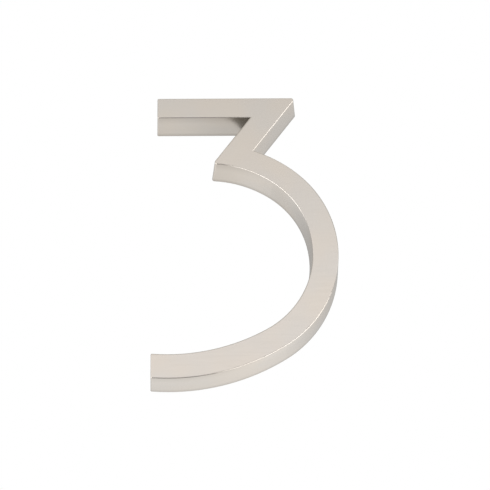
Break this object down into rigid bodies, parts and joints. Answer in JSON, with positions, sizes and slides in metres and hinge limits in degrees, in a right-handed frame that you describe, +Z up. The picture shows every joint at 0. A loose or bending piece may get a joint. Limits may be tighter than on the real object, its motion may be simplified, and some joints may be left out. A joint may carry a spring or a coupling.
{
  "type": "house number numeral",
  "caption": "Wall-mounted house numeral three, cast in one piece with a flat face, drafted sides and a hollow ribbed back with tapped bosses.",
  "frame": {"origin": "on the flat back, midway between the two tapped holes, which lie on the bowl's upright centre line", "axes": "+X to the reader's right, +Z up, +Y out of the back towards the wall, so the front face looks along -Y"},
  "size_m": [0.0804, 0.019, 0.127],
  "materials": {
    "satin_nickel": "warm satin nickel plating, very finely brushed, on a zinc casting"
  },
  "bodies": {
    "root": {"numeral_three": "satin_nickel"}
  },
  "joints": []
}
